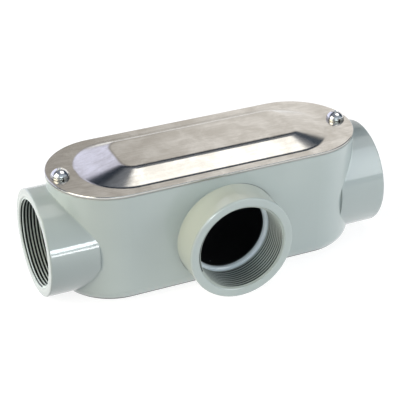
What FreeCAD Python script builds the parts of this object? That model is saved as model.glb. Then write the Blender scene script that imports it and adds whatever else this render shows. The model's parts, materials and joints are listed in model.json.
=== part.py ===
"""Type T threaded conduit body with a domed stamped cover.

Frame: +Z up through the cover, X along the run, the branch outlet towards -Y.
The origin lies on the flat back, straight below the point where the outlet axes cross.
All sizes are in millimetres.
"""
import FreeCAD, Part
import math
import os

import Sketcher

Vector = FreeCAD.Vector

DIMENSIONS = {
    # casting: an obround box with its cover face on top
    "body_length": 216.0,
    "body_width": 82.0,
    "cover_face_above_axis": 42.4,
    "wall": 3.5,
    "wall_draft": 1.0,
    "back_edge_radius": 10.0,
    # outlets: three threaded hubs, reaching out of the box
    "run_hub_reach": 12.6,
    "branch_hub_reach": 21.4,
    "run_hub_root_depth": 20.5,
    "branch_hub_root_depth": 10.0,
    "hub_inset": 4.75,
    "hub_taper": 0.1,
    "hub_lift": 0.15,
    "hub_rim_round": 1.0,
    "thread_radius": 30.2,
    "thread_depth": 21.6,
    "mouth_bevel": 0.6,
    # integral bushing at the inner end of each thread
    "lip_step": 3.7,
    "lip_thickness": 3.6,
    "lip_round": 2.4,
    "collar_wall": 2.2,
    # bosses that take the cover screws
    "screw_inset": 8.4,
    "boss_radius": 7.0,
    "boss_floor": 2.5,
    "screw_tip_clearance": 1.3,
    # gasket
    "gasket_thickness": 0.8,
    "gasket_inset": 0.3,
    "gasket_end_land": 18.0,
    "gasket_side_land": 6.5,
    # stamped cover
    "sheet_thickness": 1.4,
    "sheet_edge_bevel": 0.35,
    "dome_end_margin": 19.8,
    "dome_side_margin": 7.4,
    "dome_end_flat": 4.2,
    "dome_height": 6.4,
    "dome_end_slope": 25.9,
    "dome_side_slope": 14.8,
    "plateau_corner_radius": 9.0,
    "sheet_bend_offset": 0.25,
    "dome_foot_round": 5.0,
    "dome_crest_round": 10.0,
    # screws and their split washers
    "screw_radius": 3.1,
    "screw_hole_clearance": 0.07,
    "cover_hole_clearance": 0.45,
    "screw_length": 13.0,
    "head_radius": 5.6,
    "head_height": 4.0,
    "head_rim": 0.9,
    "recess_span": 5.6,
    "recess_blade": 1.3,
    "recess_depth": 2.4,
    "washer_radius": 6.2,
    "washer_hole_clearance": 0.25,
    "washer_thickness": 1.6,
    "washer_gap": 0.9,
    "washer_gap_slant": 0.7,
}

doc = FreeCAD.newDocument("conduit_body")
sheet = doc.addObject("Spreadsheet::Sheet", "Dimensions")
for row, (alias, value) in enumerate(DIMENSIONS.items(), 1):
    sheet.set(f"A{row}", alias)
    sheet.set(f"B{row}", str(value))
    sheet.setAlias(f"B{row}", alias)
doc.recompute()


def size(alias):
    """Return the sheet's value of one size."""
    return float(getattr(sheet, alias))


def cell(alias):
    """Return the expression that reads one size from the sheet."""
    return f"Dimensions.{alias}"


# Sizes and places that follow from the driving ones, as expressions
HALF_WIDTH = f"({cell('body_width')} / 2)"
HALF_LENGTH = f"({cell('body_length')} / 2)"
HUB_ROOT_RADIUS = f"({HALF_WIDTH} - {cell('hub_inset')})"
HUB_MOUTH_RADIUS = f"({HUB_ROOT_RADIUS} - {cell('hub_taper')})"
THROAT_RADIUS = f"({cell('thread_radius')} - {cell('lip_step')})"
COLLAR_RADIUS = f"({cell('thread_radius')} + {cell('collar_wall')})"
AXIS_HEIGHT = f"({HUB_ROOT_RADIUS} + {cell('hub_lift')})"
CASTING_TOP = f"({AXIS_HEIGHT} + {cell('cover_face_above_axis')})"
GASKET_TOP = f"({CASTING_TOP} + {cell('gasket_thickness')})"
COVER_TOP = f"({GASKET_TOP} + {cell('sheet_thickness')})"
WASHER_TOP = f"({COVER_TOP} + {cell('washer_thickness')})"
RUN_FACE = f"({HALF_LENGTH} + {cell('run_hub_reach')})"
BRANCH_FACE = f"({HALF_WIDTH} + {cell('branch_hub_reach')})"
RUN_HUB_START = f"({HALF_LENGTH} - {cell('run_hub_root_depth')})"
BRANCH_HUB_START = f"({HALF_WIDTH} - {cell('branch_hub_root_depth')})"
SCREW_STATION = f"({HALF_LENGTH} - {cell('screw_inset')})"
CLAMPED = f"({cell('gasket_thickness')} + {cell('sheet_thickness')} + {cell('washer_thickness')})"
SCREW_HOLE_DEPTH = f"({cell('screw_length')} - {CLAMPED} + {cell('screw_tip_clearance')})"
BOSS_DEPTH = f"({SCREW_HOLE_DEPTH} + {cell('boss_floor')})"

# Small rounds that are turned in short flats
RIM_FLATS = 2
LIP_FLATS = 3
CROWN_FLATS = 2


def origin_plane(body, role):
    """Return one of a body's own origin planes."""
    return next(item for item in body.Origin.OriginFeatures if item.Role == role)


def new_body(name):
    """Start a sub-part whose label names its file."""
    body = doc.addObject("PartDesign::Body", name)
    body.Label = name
    return body


def new_sketch(body, name, plane, lift=None, shift=None, turned=False):
    """Attach a sketch to an origin plane, lifted off it or shifted up in it."""
    sketch = body.newObject("Sketcher::SketchObject", name)
    sketch.AttachmentSupport = (origin_plane(body, plane), [""])
    sketch.MapMode = "FlatFace"
    turn = FreeCAD.Rotation(Vector(0, 1, 0), 180 if turned else 0)
    sketch.AttachmentOffset = FreeCAD.Placement(Vector(0, 0, 0), turn)
    if lift:
        sketch.setExpression("AttachmentOffset.Base.z", lift)
    if shift:
        sketch.setExpression("AttachmentOffset.Base.y", shift)
    doc.recompute()
    return sketch


def worth(expression):
    """Return the number that an expression has now."""
    result = sheet.evalExpression(expression)
    return float(getattr(result, "Value", result))


def bind(sketch, kind, places, expression):
    """Add one driving constraint whose value is an expression."""
    index = sketch.addConstraint(Sketcher.Constraint(kind, *places, worth(expression)))
    sketch.setExpression(f"Constraints[{index}]", expression)


def draw_obround(sketch, length, width):
    """Draw two half circles joined by straight sides, centred on the sketch's origin."""
    radius = f"({width}) / 2"
    centre = f"(({length}) - ({width})) / 2"
    r = worth(radius)
    c = worth(centre)
    up = Vector(0, 0, 1)
    right = Part.ArcOfCircle(Part.Circle(Vector(c, 0, 0), up, r), -math.pi / 2, math.pi / 2)
    left = Part.ArcOfCircle(Part.Circle(Vector(-c, 0, 0), up, r), math.pi / 2, 3 * math.pi / 2)
    top = Part.LineSegment(Vector(c, r, 0), Vector(-c, r, 0))
    bottom = Part.LineSegment(Vector(-c, -r, 0), Vector(c, -r, 0))
    first = sketch.GeometryCount
    for curve in (right, top, left, bottom):
        sketch.addGeometry(curve, False)
    for step in range(4):
        sketch.addConstraint(Sketcher.Constraint("Tangent", first + step, 2, first + (step + 1) % 4, 1))
    sketch.addConstraint(Sketcher.Constraint("PointOnObject", first, 3, -1))
    sketch.addConstraint(Sketcher.Constraint("PointOnObject", first + 2, 3, -1))
    sketch.addConstraint(Sketcher.Constraint("Equal", first, first + 2))
    bind(sketch, "Radius", (first,), radius)
    bind(sketch, "DistanceX", (-1, 1, first, 3), centre)
    bind(sketch, "DistanceX", (first + 2, 3, -1, 1), centre)


def draw_rounded_panel(sketch, length, width, corner):
    """Draw a rectangle with rounded corners, centred on the sketch's origin."""
    a = worth(length) / 2
    b = worth(width) / 2
    r = worth(corner)
    up = Vector(0, 0, 1)
    corners = [(a - r, b - r, 0), (r - a, b - r, 90), (r - a, r - b, 180), (a - r, r - b, 270)]
    first = sketch.GeometryCount
    for x, y, start in corners:
        begin = math.radians(start)
        sketch.addGeometry(Part.ArcOfCircle(Part.Circle(Vector(x, y, 0), up, r), begin, begin + math.pi / 2), False)
    sides = [
        ((a - r, b), (r - a, b)),
        ((-a, b - r), (-a, r - b)),
        ((r - a, -b), (a - r, -b)),
        ((a, r - b), (a, b - r)),
    ]
    for start, end in sides:
        sketch.addGeometry(Part.LineSegment(Vector(*start, 0), Vector(*end, 0)), False)
    for step in range(4):
        arc = first + step
        side = first + 4 + step
        following = first + (step + 1) % 4
        sketch.addConstraint(Sketcher.Constraint("Tangent", arc, 2, side, 1))
        sketch.addConstraint(Sketcher.Constraint("Tangent", side, 2, following, 1))
    for step in range(3):
        sketch.addConstraint(Sketcher.Constraint("Equal", first, first + step + 1))
    sketch.addConstraint(Sketcher.Constraint("Horizontal", first + 4))
    sketch.addConstraint(Sketcher.Constraint("Vertical", first + 5))
    bind(sketch, "Radius", (first,), corner)
    bind(sketch, "DistanceY", (-1, 1, first + 4, 1), f"({width}) / 2")
    bind(sketch, "DistanceY", (first + 6, 1, -1, 1), f"({width}) / 2")
    bind(sketch, "DistanceX", (first + 5, 1, -1, 1), f"({length}) / 2")
    bind(sketch, "DistanceX", (-1, 1, first + 7, 1), f"({length}) / 2")


def draw_polygon(sketch, corners):
    """Draw a closed polygon whose corners are pairs of expressions, none negative."""
    points = [Vector(worth(x), worth(y), 0) for x, y in corners]
    count = len(points)
    first = sketch.GeometryCount
    for step in range(count):
        sketch.addGeometry(Part.LineSegment(points[step], points[(step + 1) % count]), False)
    for step in range(count):
        sketch.addConstraint(Sketcher.Constraint("Coincident", first + step, 2, first + (step + 1) % count, 1))
    for step, (x, y) in enumerate(corners):
        if x == "0":
            sketch.addConstraint(Sketcher.Constraint("PointOnObject", first + step, 1, -2))
        else:
            bind(sketch, "DistanceX", (-1, 1, first + step, 1), x)
        if y == "0":
            sketch.addConstraint(Sketcher.Constraint("PointOnObject", first + step, 1, -1))
        else:
            bind(sketch, "DistanceY", (-1, 1, first + step, 1), y)


def draw_circle(sketch, radius, x=None, side=1):
    """Draw a circle at the sketch's origin, or at x on its horizontal axis to one side."""
    middle = side * worth(x) if x else 0.0
    index = sketch.GeometryCount
    sketch.addGeometry(Part.Circle(Vector(middle, 0, 0), Vector(0, 0, 1), worth(radius)), False)
    if x:
        sketch.addConstraint(Sketcher.Constraint("PointOnObject", index, 3, -1))
        bind(sketch, "DistanceX", (-1, 1, index, 3) if side > 0 else (index, 3, -1, 1), x)
    else:
        sketch.addConstraint(Sketcher.Constraint("Coincident", index, 3, -1, 1))
    bind(sketch, "Radius", (index,), radius)


def draw_circle_pair(sketch, radius, x):
    """Draw one circle on each side of the origin."""
    for side in (1, -1):
        draw_circle(sketch, radius, x, side)


def draw_bar(sketch, length, width):
    """Draw a sharp rectangle, centred on the sketch's origin."""
    a = worth(length) / 2
    b = worth(width) / 2
    corners = [Vector(a, b, 0), Vector(-a, b, 0), Vector(-a, -b, 0), Vector(a, -b, 0)]
    for step in range(4):
        sketch.addGeometry(Part.LineSegment(corners[step], corners[(step + 1) % 4]), False)
    for step in range(4):
        sketch.addConstraint(Sketcher.Constraint("Coincident", step, 2, (step + 1) % 4, 1))
        sketch.addConstraint(Sketcher.Constraint("Vertical" if step % 2 else "Horizontal", step))
    sketch.addConstraint(Sketcher.Constraint("Symmetric", 0, 1, 2, 1, -1, 1))
    bind(sketch, "DistanceX", (1, 1, 0, 1), length)
    bind(sketch, "DistanceY", (3, 1, 0, 1), width)


def quarter_round(centre, across, up, flats):
    """Return the corners of a quarter ellipse in flats, from its reach across to its reach up.

    Centre, across and up are expressions; across and up may point backwards with a minus sign.
    """
    corners = []
    for step in range(flats + 1):
        turn = 90 * step / flats
        x = f"({centre[0]} + ({across}) * cos({turn} deg))"
        y = f"({centre[1]} + ({up}) * sin({turn} deg))"
        corners.append((x, y))
    return corners


def add_feature(body, kind, name, sketch, **bound):
    """Add a sketch-based feature and bind its lengths and angles."""
    feature = body.newObject(f"PartDesign::{kind}", name)
    feature.Profile = sketch
    for key, expression in bound.items():
        feature.setExpression(key, expression)
    return feature


def turn_about_axis(body, kind, name, sketch):
    """Revolve or groove a sketch a full turn about its horizontal axis."""
    feature = add_feature(body, kind, name, sketch)
    feature.ReferenceAxis = (sketch, ["H_Axis"])
    feature.Angle = 360
    doc.recompute()
    return feature


def edge_names(feature, test):
    """Name the edges of a feature's shape that pass a test."""
    return [f"Edge{i}" for i, edge in enumerate(feature.Shape.Edges, 1) if test(edge)]


def dress_edges(body, kind, name, base, test, amount):
    """Fillet or chamfer the edges of a feature that pass a test."""
    doc.recompute()
    chosen = edge_names(base, test)
    if not chosen:
        raise RuntimeError(f"{name} finds no edge")
    dressed = body.newObject(f"PartDesign::{kind}", name)
    dressed.Base = (base, chosen)
    dressed.setExpression("Radius" if kind == "Fillet" else "Size", amount)
    doc.recompute()
    return dressed


def level_at(height, reach=None):
    """Return a test for edges that lie at one height, within a reach from the middle."""
    def test(edge):
        box = edge.BoundBox
        flat = abs(box.ZMin - height) < 1e-4 and abs(box.ZMax - height) < 1e-4
        return flat and (reach is None or max(abs(box.YMin), abs(box.YMax)) < reach)
    return test


def mirrored_run(body, name, feature):
    """Repeat a run hub's feature at the other end."""
    mirror = body.newObject("PartDesign::Mirrored", name)
    mirror.Originals = [feature]
    mirror.MirrorPlane = (origin_plane(body, "YZ_Plane"), [""])
    body.Tip = mirror
    doc.recompute()
    return mirror


def hub_solid_outline(face, start):
    """Return the outer outline of a hub, from inside the box to its rounded rim."""
    rim = cell("hub_rim_round")
    rounded = quarter_round((f"{face} - {rim}", f"{HUB_MOUTH_RADIUS} - {rim}"), rim, rim, RIM_FLATS)
    return [(start, "0"), (face, "0"), *rounded, (start, HUB_ROOT_RADIUS)]


def collar_outline(wall_face, inner_end):
    """Return the outline of the collar that carries a hub's bushing lip, from the middle of the wall inwards."""
    outer_end = f"({wall_face} - {cell('wall')} / 2)"
    return [(inner_end, "0"), (outer_end, "0"), (outer_end, COLLAR_RADIUS), (inner_end, COLLAR_RADIUS)]


def bore_outline(face, inner_end):
    """Return the outline of a hub's throat, rounded lip, thread bore and mouth bevel."""
    lip = f"({face} - {cell('thread_depth')})"
    bevel_start = f"({face} - {cell('mouth_bevel')})"
    mouth = f"({cell('thread_radius')} + {cell('mouth_bevel')})"
    beyond = f"({face} + {cell('mouth_bevel')})"
    bend = cell("lip_round")
    rounded = quarter_round((f"{lip} - {bend}", f"{THROAT_RADIUS} + {bend}"), bend, f"-{bend}", LIP_FLATS)
    return [
        (inner_end, "0"),
        (beyond, "0"),
        (beyond, mouth),
        (face, mouth),
        (bevel_start, cell("thread_radius")),
        (lip, cell("thread_radius")),
        *rounded,
        (inner_end, THROAT_RADIUS),
    ]


def turn_outlet(body, kind, name, outline, on_run):
    """Revolve or groove an outline about the run's axis or the branch's."""
    plane = "XZ_Plane" if on_run else "YZ_Plane"
    sketch = new_sketch(body, f"{name}_profile", plane, shift=AXIS_HEIGHT, turned=not on_run)
    draw_polygon(sketch, outline)
    feature = turn_about_axis(body, kind, name, sketch)
    return mirrored_run(body, f"{name}_other_end", feature) if on_run else feature


def make_casting():
    """Cast body: obround box, three hubs, inner collars, screw bosses, then every bore."""
    body = new_body("body_casting")
    outline = new_sketch(body, "box_outline", "XY_Plane", lift=CASTING_TOP)
    draw_obround(outline, cell("body_length"), cell("body_width"))
    box = add_feature(body, "Pad", "box", outline, Length=CASTING_TOP, TaperAngle=f"-{cell('wall_draft')}")
    box.Reversed = True
    dress_edges(body, "Fillet", "back_edge", box, level_at(0.0), cell("back_edge_radius"))
    turn_outlet(body, "Revolution", "run_hub", hub_solid_outline(RUN_FACE, RUN_HUB_START), True)
    turn_outlet(body, "Revolution", "branch_hub", hub_solid_outline(BRANCH_FACE, BRANCH_HUB_START), False)

    inside = new_sketch(body, "chamber_outline", "XY_Plane", lift=CASTING_TOP)
    twice_wall = f"2 * {cell('wall')}"
    draw_obround(inside, f"{cell('body_length')} - {twice_wall}", f"{cell('body_width')} - {twice_wall}")
    chamber = add_feature(
        body, "Pocket", "chamber", inside,
        Length=f"{CASTING_TOP} - {cell('wall')}", TaperAngle=f"-{cell('wall_draft')}",
    )
    inner_radius = f"({cell('back_edge_radius')} - {cell('wall')})"
    flat_on_arc = f"{inner_radius} * (2 - sqrt(2))"
    dress_edges(body, "Chamfer", "chamber_floor_edge", chamber, level_at(size("wall")), flat_on_arc)

    to_lip_end = f"{cell('thread_depth')} - {cell('lip_thickness')}"
    run_lip_end = f"({RUN_FACE} - {to_lip_end})"
    branch_lip_end = f"({BRANCH_FACE} - {to_lip_end})"
    turn_outlet(body, "Revolution", "run_collar", collar_outline(HALF_LENGTH, run_lip_end), True)
    turn_outlet(body, "Revolution", "branch_collar", collar_outline(HALF_WIDTH, branch_lip_end), False)

    boss_sketch = new_sketch(body, "boss_outline", "XY_Plane", lift=CASTING_TOP)
    draw_circle_pair(boss_sketch, cell("boss_radius"), SCREW_STATION)
    bosses = add_feature(body, "Pad", "screw_bosses", boss_sketch, Length=BOSS_DEPTH)
    bosses.Reversed = True
    doc.recompute()

    past_lip = f"- {cell('lip_thickness')}"
    turn_outlet(body, "Groove", "run_bore", bore_outline(RUN_FACE, f"({run_lip_end} {past_lip})"), True)
    turn_outlet(body, "Groove", "branch_bore", bore_outline(BRANCH_FACE, f"({branch_lip_end} {past_lip})"), False)

    hole_sketch = new_sketch(body, "screw_hole_outline", "XY_Plane", lift=CASTING_TOP)
    draw_circle_pair(hole_sketch, f"{cell('screw_radius')} + {cell('screw_hole_clearance')}", SCREW_STATION)
    add_feature(body, "Pocket", "screw_holes", hole_sketch, Length=SCREW_HOLE_DEPTH)
    doc.recompute()
    return body


def make_gasket():
    """Flat gasket between the casting's face and the cover."""
    body = new_body("cover_gasket")
    outline = new_sketch(body, "gasket_outline", "XY_Plane", lift=CASTING_TOP)
    for end, side in (("gasket_inset", "gasket_inset"), ("gasket_end_land", "gasket_side_land")):
        draw_obround(outline, f"{cell('body_length')} - 2 * {cell(end)}", f"{cell('body_width')} - 2 * {cell(side)}")
    draw_circle_pair(outline, f"{cell('screw_radius')} + {cell('cover_hole_clearance')}", SCREW_STATION)
    add_feature(body, "Pad", "gasket_ring", outline, Length=cell("gasket_thickness"))
    doc.recompute()
    return body


def make_cover():
    """Stamped cover: flat margin, drawn dome with a flat plateau, and two screw holes."""
    body = new_body("cover_plate")
    outline = new_sketch(body, "margin_outline", "XY_Plane", lift=GASKET_TOP)
    draw_obround(outline, cell("body_length"), cell("body_width"))
    add_feature(body, "Pad", "margin", outline, Length=cell("sheet_thickness"))
    doc.recompute()

    dome_length = f"({cell('body_length')} - 2 * {cell('dome_end_margin')})"
    dome_width = f"({cell('body_width')} - 2 * {cell('dome_side_margin')})"
    dome_corner = f"({dome_width} - {cell('dome_end_flat')}) / 2"
    plateau_length = f"({dome_length} - 2 * {cell('dome_end_slope')})"
    plateau_width = f"({dome_width} - 2 * {cell('dome_side_slope')})"

    def loft_between(kind, name, low, high, inset):
        """Join the dome's foot and its plateau with straight slopes."""
        foot = new_sketch(body, f"{name}_foot", "XY_Plane", lift=low)
        draw_rounded_panel(
            foot, f"{dome_length} - 2 * {inset}", f"{dome_width} - 2 * {inset}", f"{dome_corner} - {inset}",
        )
        crest = new_sketch(body, f"{name}_crest", "XY_Plane", lift=high)
        draw_rounded_panel(
            crest, f"{plateau_length} - 2 * {inset}", f"{plateau_width} - 2 * {inset}",
            f"{cell('plateau_corner_radius')} - {inset}",
        )
        doc.recompute()
        loft = body.newObject(f"PartDesign::{kind}", name)
        loft.Profile = foot
        loft.Sections = [crest]
        loft.Ruled = True
        doc.recompute()
        return loft

    dome_top = f"({COVER_TOP} + {cell('dome_height')})"
    dome_under = f"({GASKET_TOP} + {cell('dome_height')})"
    dome = loft_between("AdditiveLoft", "dome", COVER_TOP, dome_top, "0")
    within_margin = worth(HALF_WIDTH) - size("dome_side_margin") / 2
    at_foot = level_at(worth(COVER_TOP), within_margin)
    at_crest = level_at(worth(dome_top), within_margin)
    foot = dress_edges(body, "Fillet", "dome_foot_round", dome, at_foot, cell("dome_foot_round"))
    dress_edges(body, "Fillet", "dome_crest_round", foot, at_crest, cell("dome_crest_round"))
    hollow = loft_between("SubtractiveLoft", "dome_hollow", GASKET_TOP, dome_under, cell("sheet_bend_offset"))

    def on_outline(edge):
        """Pass the upper edge of the margin's outline."""
        return level_at(worth(COVER_TOP))(edge) and not at_foot(edge)

    dress_edges(body, "Chamfer", "margin_edge", hollow, on_outline, cell("sheet_edge_bevel"))
    hole_sketch = new_sketch(body, "cover_hole_outline", "XY_Plane", lift=COVER_TOP)
    draw_circle_pair(hole_sketch, f"{cell('screw_radius')} + {cell('cover_hole_clearance')}", SCREW_STATION)
    holes = add_feature(body, "Pocket", "cover_holes", hole_sketch)
    holes.Type = "ThroughAll"
    doc.recompute()
    return body


def make_screw(side, sign):
    """Round-head machine screw with a cross recess, seated on its split washer."""
    body = new_body(f"cover_screw_{side}")
    profile = new_sketch(body, f"screw_profile_{side}", "XZ_Plane")
    rim_top = f"({cell('screw_length')} + {cell('head_rim')})"
    head_top = f"({cell('screw_length')} + {cell('head_height')})"
    crown = quarter_round(("0", rim_top), cell("head_radius"), f"{cell('head_height')} - {cell('head_rim')}", CROWN_FLATS)
    draw_polygon(profile, [
        ("0", "0"),
        (cell("screw_radius"), "0"),
        (cell("screw_radius"), cell("screw_length")),
        (cell("head_radius"), cell("screw_length")),
        *crown[:-1],
        ("0", head_top),
    ])
    turned = add_feature(body, "Revolution", f"screw_turned_{side}", profile)
    turned.ReferenceAxis = (profile, ["V_Axis"])
    turned.Angle = 360
    doc.recompute()
    for name, length, width in (
        ("recess_across", "recess_span", "recess_blade"),
        ("recess_along", "recess_blade", "recess_span"),
    ):
        outline = new_sketch(body, f"{name}_outline_{side}", "XY_Plane", lift=head_top)
        draw_bar(outline, cell(length), cell(width))
        add_feature(body, "Pocket", f"{name}_{side}", outline, Length=cell("recess_depth"))
        doc.recompute()
    body.setExpression("Placement.Base.x", f"{sign} * {SCREW_STATION}")
    body.setExpression("Placement.Base.z", f"{WASHER_TOP} - {cell('screw_length')}")
    doc.recompute()
    return body


def make_washer(side, sign):
    """Split spring washer, pressed flat, with a slanted gap towards the branch side."""
    body = new_body(f"lock_washer_{side}")
    outline = new_sketch(body, f"washer_outline_{side}", "XY_Plane")
    draw_circle(outline, cell("washer_radius"))
    draw_circle(outline, f"{cell('screw_radius')} + {cell('washer_hole_clearance')}")
    add_feature(body, "Pad", f"washer_ring_{side}", outline, Length=cell("washer_thickness"))
    doc.recompute()
    gap = new_sketch(body, f"washer_gap_outline_{side}", "XZ_Plane")
    wide = cell("washer_gap")
    slant = cell("washer_gap_slant")
    thick = cell("washer_thickness")
    draw_polygon(gap, [("0", "0"), (wide, "0"), (f"{wide} + {slant}", thick), (slant, thick)])
    cut = add_feature(body, "Pocket", f"washer_gap_{side}", gap, Length=f"2 * {cell('washer_radius')}")
    cut.Reversed = True
    body.setExpression("Placement.Base.x", f"{sign} * {SCREW_STATION}")
    body.setExpression("Placement.Base.z", COVER_TOP)
    doc.recompute()
    return body


subparts = [make_casting(), make_gasket(), make_cover()]
for side, sign in (("left", -1), ("right", 1)):
    subparts.append(make_screw(side, sign))
    subparts.append(make_washer(side, sign))
doc.recompute()

failed = [item.Name for item in doc.Objects if "Invalid" in item.State or "Error" in item.State]
if failed:
    raise RuntimeError(f"features failed: {failed}")
for body in subparts:
    if body.Shape.isNull() or not body.Shape.isValid() or len(body.Shape.Solids) != 1:
        raise RuntimeError(f"{body.Label} isn't one valid solid")

os.makedirs("parts", exist_ok=True)
for body in subparts:
    body.Shape.exportStep(f"parts/{body.Label}.step")
    box = body.Shape.BoundBox
    print(
        f"{body.Label}: {body.Shape.Volume / 1000:.2f} cm3, "
        f"x {box.XMin:.2f} to {box.XMax:.2f}, y {box.YMin:.2f} to {box.YMax:.2f}, z {box.ZMin:.2f} to {box.ZMax:.2f}"
    )
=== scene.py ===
"""Dresses a threaded conduit body: enamel, cut threads, a stamped cover, plated screws and washers."""
import json
import math

import bmesh
import bpy
from bpy.props import FloatProperty, FloatVectorProperty, IntProperty, PointerProperty
from bpy.types import Operator, Panel, PropertyGroup
from mathutils import Matrix, Vector


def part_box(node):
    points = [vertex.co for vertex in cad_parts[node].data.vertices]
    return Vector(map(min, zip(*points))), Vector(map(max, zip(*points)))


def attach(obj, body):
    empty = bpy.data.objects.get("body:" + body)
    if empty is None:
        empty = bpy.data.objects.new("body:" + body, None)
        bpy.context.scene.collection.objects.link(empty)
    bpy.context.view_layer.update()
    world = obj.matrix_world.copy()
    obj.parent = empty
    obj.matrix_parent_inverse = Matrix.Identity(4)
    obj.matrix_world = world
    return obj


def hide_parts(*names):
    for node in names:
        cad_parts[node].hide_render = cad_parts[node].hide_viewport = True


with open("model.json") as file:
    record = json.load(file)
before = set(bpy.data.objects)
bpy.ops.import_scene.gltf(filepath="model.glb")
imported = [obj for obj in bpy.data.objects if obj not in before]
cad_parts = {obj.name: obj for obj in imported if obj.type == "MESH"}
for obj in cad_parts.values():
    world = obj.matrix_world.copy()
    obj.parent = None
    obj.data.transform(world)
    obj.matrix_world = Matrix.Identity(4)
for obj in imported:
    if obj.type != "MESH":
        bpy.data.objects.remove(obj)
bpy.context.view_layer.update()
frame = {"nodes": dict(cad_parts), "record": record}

bl_info = {
    "name": "Conduit body",
    "version": (1, 0, 0),
    "blender": (4, 5, 0),
    "location": "View3D > Sidebar > Conduit body",
    "description": "Threads, screws, washers, finishes and the studio of a cast conduit body",
    "category": "Object",
}

BODY = "root"
NODES = frame["nodes"]
MOUNTS = {mount["name"]: mount for mount in frame["record"]["mounts"]}
SIDES = ("left", "right")

# Heights and places that follow from the solids
AXIS_HEIGHT = MOUNTS["branch_outlet"]["pos_m"][2]
COVER_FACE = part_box("cover_gasket")[1].z
WASHER_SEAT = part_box("lock_washer_left")[0].z
HEAD_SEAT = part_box("lock_washer_left")[1].z
HALF_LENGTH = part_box("cover_plate")[1].x
HALF_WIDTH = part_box("cover_plate")[1].y
END_CENTRE = HALF_LENGTH - HALF_WIDTH
CASTING_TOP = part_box("cover_gasket")[0].z
RUN_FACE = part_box("body_casting")[1].x
BRANCH_FACE = -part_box("body_casting")[0].y
BORE_RADIUS = MOUNTS["branch_outlet"]["dims"]["r_mm"] * 0.001
HUB_LIFT = 0.00015
HUB_RADIUS = AXIS_HEIGHT - HUB_LIFT
LIP_DEPTH = 0.0216
WALL_DRAFT = math.tan(math.radians(1.0))

# Steps, shares and gaps of the meshes
SMOOTH_ANGLE = math.radians(35)
SOFTEN_ANGLE = math.radians(38)
EDGE_SEGMENTS = 2
THREAD_FLAT_SHARE = 0.10
TUBE_GAP = 0.00002
MOUTH_EDGE = 0.00002
HEAD_ROWS = 14
HEAD_STEPS = 64
WASHER_STEPS = 72
RECESS_ABOVE_CROWN = 0.001
RECESS_END_TAPER = 0.45
RECESS_SIDE_TAPER = 0.8
SHANK_SHARE = 0.5
WASHER_HOLE_SHARE = 0.54
SCREW_TURNS = {"left": math.radians(24), "right": math.radians(61)}

# Limits of the finishes' zones, in metres
LIP_BEHIND = 0.0026
LIP_AHEAD = 0.0006
LIP_SOFT = 0.0003
LIP_RADII = (BORE_RADIUS - 0.0014, BORE_RADIUS - 0.0006)
CHAMBER_WALL = HALF_WIDTH - 0.0027
CHAMBER_SOFT = 0.0012
BACK_SHEET = (0.0015, 0.0025)
RUN_HUB_SKIN = (BORE_RADIUS + 0.0020, BORE_RADIUS + 0.0030)
RUN_HUB_SIDES = (0.060, 0.064)
RUN_COAT_START = (0.0003, 0.0012)
RUN_THREADS = (0.080, 0.090)
SIDE_HUB_SKIN = (HUB_RADIUS - 0.0020, HUB_RADIUS - 0.0010)
SIDE_HUB_RIM = (0.0008 - BRANCH_FACE, 0.0020 - BRANCH_FACE)
SIDE_HUB_FRONT = (0.034, 0.036)
SIDE_HUB_SIDES = (0.046, 0.050)
SIDE_COAT_START = (0.0002, 0.0008)
CREASE_WIDTH = (0.0001, 0.0005)
CREASE_BELOW_AXIS = (0.006, 0.018)
CREASE_RIGHT = (0.002, 0.012)
ROOT_START = (-0.0001, 0.0001)
ROOT_END = (0.0006, 0.0011)
ROOT_ABOVE_AXIS = (-0.004, 0.008)
SHEARED_EDGE = (HALF_WIDTH - 0.0006, HALF_WIDTH - 0.0003)
SHEARED_RISE = (COVER_FACE + 0.0004, COVER_FACE + 0.0008)
DOME_END = (0.046, 0.058)
DOME_RISE = (COVER_FACE + 0.006, COVER_FACE + 0.010)

# Colours that the settings don't hold
WHITE = (1.0, 1.0, 1.0, 1.0)
# Painted glints in the painted shade inside the box
PAINTED_GLINT_COLOUR = (0.16, 0.17, 0.18)
SHEARED_COLOUR = (0.64, 0.63, 0.60)
# Painted shadow on the lower half of the cover's cut edge, above the gasket
SHEARED_EDGE_PAINTED_SHADOW = (0.42, 0.42, 0.40)
FLOOR_COLOUR = (0.86, 0.86, 0.86)
FLOOR_SHADE_COLOUR = (0.14, 0.14, 0.14)
BACKDROP_LEFT = (0.36, 0.345, 0.32)
BACKDROP_RIGHT = (0.92, 0.90, 0.88)
BACKDROP_LAVENDER = (0.87, 0.895, 1.12)
CEILING_DIM = (0.20, 0.22, 0.26)
CEILING_GAP = (0.010, 0.020, 0.038)
CEILING_RIGHT = (0.04, 0.06, 0.09)
SOFT_BOX = (2.0, 2.0, 1.97)
TENT_TINT = (0.89, 1.0, 1.12)
BELOW_HORIZON = (0.85, 0.85, 0.85)
STRIP_COLOUR = (0.95, 0.98, 1.0)
PANEL_COLOUR = (0.94, 0.98, 1.0)

# Places of the Mix node's sockets
COLOUR_INPUTS = (6, 7)
COLOUR_OUTPUT = 2
VECTOR_INPUTS = (4, 5)
VECTOR_OUTPUT = 1

# The strips and the panel that only the casting mirrors
LEFT_HUB = Vector((-0.112, -0.034, 0.047))
RIGHT_HUB = Vector((0.112, -0.030, 0.050))
STRIP_REACH = 0.42
STRIP_WIDTH = 0.12
PANEL_OFFSET = Vector((0.235, -0.320, 0.305))
PANEL_SIZE = (0.30, 0.50)
HIDDEN_FROM_GLOSS = ("left_back", "low_right", "left_side")


def centre_of(node):
    """Return the middle of a node's box."""
    low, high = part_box(node)
    return (low + high) / 2


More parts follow.
